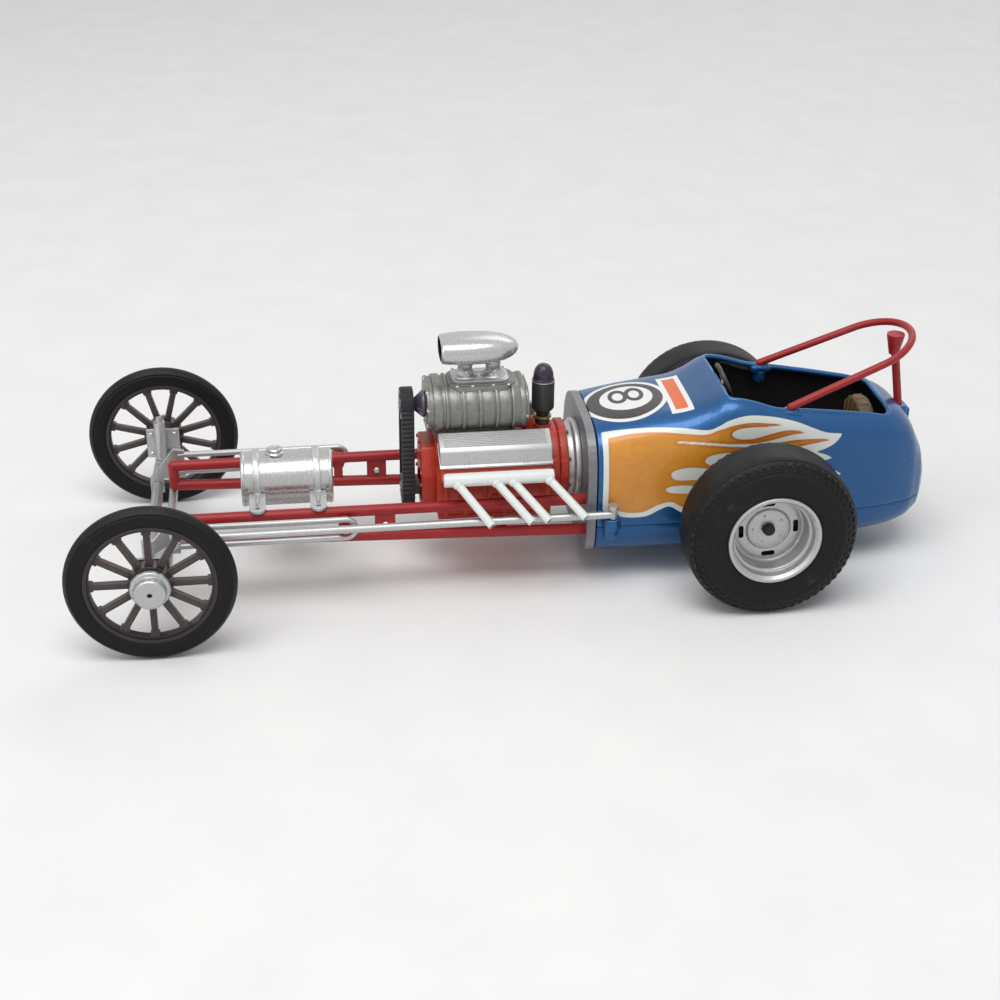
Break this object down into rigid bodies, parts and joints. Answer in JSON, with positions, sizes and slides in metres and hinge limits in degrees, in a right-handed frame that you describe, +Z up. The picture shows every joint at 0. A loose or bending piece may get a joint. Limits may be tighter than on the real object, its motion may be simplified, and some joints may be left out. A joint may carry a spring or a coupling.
{
  "type": "drag racing car scale model",
  "caption": "Plastic scale model of a front-engined drag racing car: open tube frame, supercharged V engine with scoop, spoked front wheels, slick rear tyres, blue flamed body and roll bar.",
  "frame": {"origin": "on the floor, under the middle of the car", "axes": "+X to the tail (the car faces -X), +Y to the car's right, +Z up"},
  "size_m": [0.1562, 0.0656, 0.0446],
  "materials": {
    "tyre_rubber": "satin",
    "dark_plastic": "satin",
    "silver_plastic": "silver paint",
    "bright_silver": "polished",
    "frame_red": "satin",
    "engine_red": "satin",
    "gunmetal": "dark metallic",
    "white_plastic": "gloss",
    "black_plastic": "satin",
    "firewall_grey": "satin",
    "body_blue": "metallic gloss",
    "seat_brown": "satin"
  },
  "bodies": {
    "chassis": {"frame_side_left": "frame_red", "frame_side_right": "frame_red", "frame_cross_members": "frame_red", "front_axle": "silver_plastic", "radius_rod_left": "silver_plastic", "radius_rod_right": "silver_plastic", "rear_axle": "silver_plastic", "fuel_tank": "bright_silver", "tank_straps": "silver_plastic", "filler_cap": "silver_plastic", "engine_block": "engine_red", "valve_covers": "silver_plastic", "exhaust_header_left": "white_plastic", "exhaust_header_right": "white_plastic", "blower": "gunmetal", "blower_snout": "black_plastic", "crank_pulley": "black_plastic", "drive_belt": "black_plastic", "carburettors": "gunmetal", "air_scoop": "bright_silver", "magneto": "black_plastic", "clutch_housing": "silver_plastic", "firewall": "firewall_grey", "body_shell": "body_blue", "belly_pan": "body_blue", "seat": "seat_brown", "steering_wheel": "black_plastic", "roll_bar": "frame_red", "head_rest": "frame_red"},
    "knuckle_left": {"knuckle_left": "silver_plastic"},
    "knuckle_right": {"knuckle_right": "silver_plastic"},
    "tie_rod": {"tie_rod": "silver_plastic"},
    "drag_link": {"drag_link": "silver_plastic"},
    "front_wheel_left_assembly": {"front_tyre_left": "tyre_rubber", "front_wheel_left": "dark_plastic", "hub_cap_left": "silver_plastic"},
    "front_wheel_right_assembly": {"front_tyre_right": "tyre_rubber", "front_wheel_right": "dark_plastic", "hub_cap_right": "silver_plastic"},
    "rear_wheel_left_assembly": {"rear_tyre_left": "tyre_rubber", "rear_rim_left": "silver_plastic"},
    "rear_wheel_right_assembly": {"rear_tyre_right": "tyre_rubber", "rear_rim_right": "silver_plastic"}
  },
  "joints": [
    {"name": "steering", "type": "hinge", "parent": "chassis", "child": "knuckle_left", "pos_m": [-0.06425, -0.0235, 0.0143], "axis": [0, 0, 1], "range_deg": [-15, 15]},
    {"name": "right_kingpin", "type": "hinge", "parent": "chassis", "child": "knuckle_right", "pos_m": [-0.06425, 0.0235, 0.0143], "axis": [0, 0, 1], "range_deg": [-15, 15]},
    {"name": "tie_rod_pivot", "type": "hinge", "parent": "knuckle_left", "child": "tie_rod", "pos_m": [-0.06175, -0.0235, 0.011], "axis": [0, 0, 1], "range_deg": [-15, 15]},
    {"name": "drag_link_pivot", "type": "hinge", "parent": "knuckle_left", "child": "drag_link", "pos_m": [-0.06005, -0.0176, 0.0164], "axis": [0, 0, 1], "range_deg": [-16, 16]},
    {"name": "front_wheel_left_spin", "type": "hinge", "parent": "knuckle_left", "child": "front_wheel_left_assembly", "pos_m": [-0.06385, -0.0285, 0.0143], "axis": [0, 1, 0], "continuous": true},
    {"name": "front_wheel_right_spin", "type": "hinge", "parent": "knuckle_right", "child": "front_wheel_right_assembly", "pos_m": [-0.06385, 0.0285, 0.0143], "axis": [0, 1, 0], "continuous": true},
    {"name": "rear_wheel_left_spin", "type": "hinge", "parent": "chassis", "child": "rear_wheel_left_assembly", "pos_m": [0.04265, -0.0234, 0.01525], "axis": [0, 1, 0], "continuous": true},
    {"name": "rear_wheel_right_spin", "type": "hinge", "parent": "chassis", "child": "rear_wheel_right_assembly", "pos_m": [0.04265, 0.0234, 0.01525], "axis": [0, 1, 0], "continuous": true}
  ],
  "couplings": [
    {"joint": "right_kingpin", "follows": "steering", "ratio": 1},
    {"joint": "tie_rod_pivot", "follows": "steering", "ratio": -1},
    {"joint": "drag_link_pivot", "follows": "steering", "ratio": -1.055}
  ]
}
